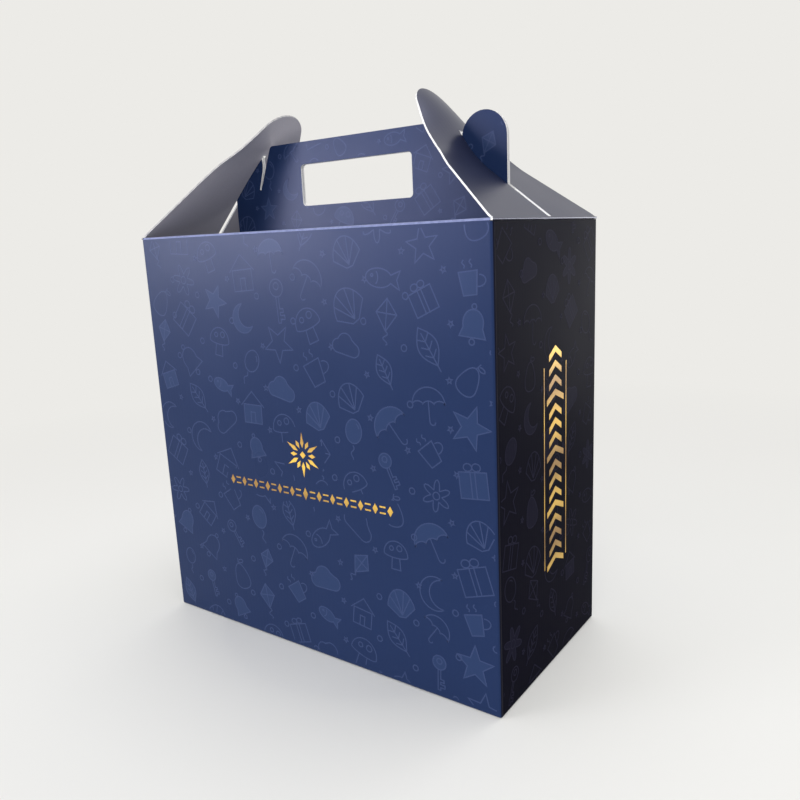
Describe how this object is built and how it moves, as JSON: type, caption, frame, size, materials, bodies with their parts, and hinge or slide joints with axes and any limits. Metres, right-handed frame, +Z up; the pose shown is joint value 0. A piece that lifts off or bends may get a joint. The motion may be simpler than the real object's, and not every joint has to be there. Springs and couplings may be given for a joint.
{
  "type": "gable box",
  "caption": "Folded gable carton with a two-ply carrying handle and two side flaps whose slits drop over the handle's ears.",
  "frame": {"origin": "centre of the base, on the surface that the carton stands on", "axes": "+X along the wide front wall, +Y from the front wall to the rear wall, +Z up"},
  "size_m": [0.3, 0.15, 0.3859],
  "materials": {
    "printed_board": "deep blue print under a satin film",
    "flap_board": "near-black print under a satin film, white board inside",
    "foil_print": "matt gold foil print"
  },
  "bodies": {
    "carton": {"carton": "printed_board"},
    "right_flap": {"right_flap": "flap_board"},
    "left_flap": {"left_flap": "flap_board"}
  },
  "joints": [
    {"name": "right_flap_fold", "type": "hinge", "parent": "carton", "child": "right_flap", "pos_m": [0.14925, 0, 0.29925], "axis": [0, 1, 0], "range_deg": [0, 140]},
    {"name": "left_flap_fold", "type": "hinge", "parent": "carton", "child": "left_flap", "pos_m": [-0.14925, 0, 0.29925], "axis": [0, -1, 0], "range_deg": [0, 140]}
  ]
}
